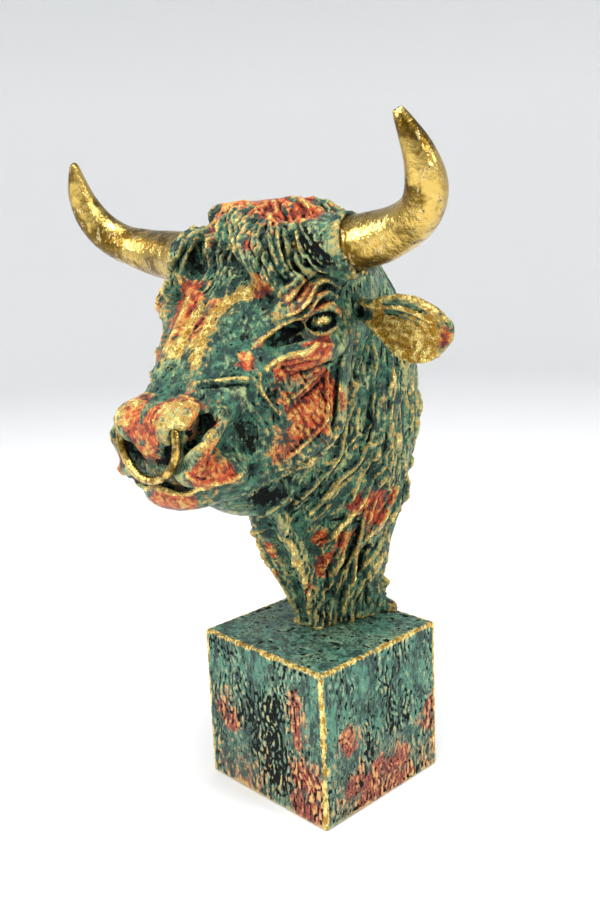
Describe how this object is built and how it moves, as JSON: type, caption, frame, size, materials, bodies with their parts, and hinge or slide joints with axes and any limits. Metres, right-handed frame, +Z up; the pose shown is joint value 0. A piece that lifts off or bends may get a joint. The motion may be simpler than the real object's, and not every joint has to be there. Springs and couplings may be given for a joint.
{
  "type": "bull head bust",
  "caption": "Desk-size bust of a horned bull's head on its neck, with a ring in the nose, standing on a square block plinth.",
  "frame": {"origin": "centre of the plinth's underside, on the surface the bust stands on", "axes": "+Z up, -Y the way the bull faces, +X to the bull's own left, square with the plinth's sides"},
  "size_m": [0.2079, 0.1669, 0.3069],
  "materials": {
    "patina": "verdigris over black, with worn gold ridges and copper red patches",
    "gold_leaf": "worn gold leaf with dark specks",
    "block": "crinkled verdigris, dark in the hollows, gold on the edges and rust red low down"
  },
  "bodies": {
    "root": {"head_and_neck": "patina", "horn_left": "gold_leaf", "horn_right": "gold_leaf", "nose_ring": "gold_leaf", "plinth": "block"}
  },
  "joints": []
}
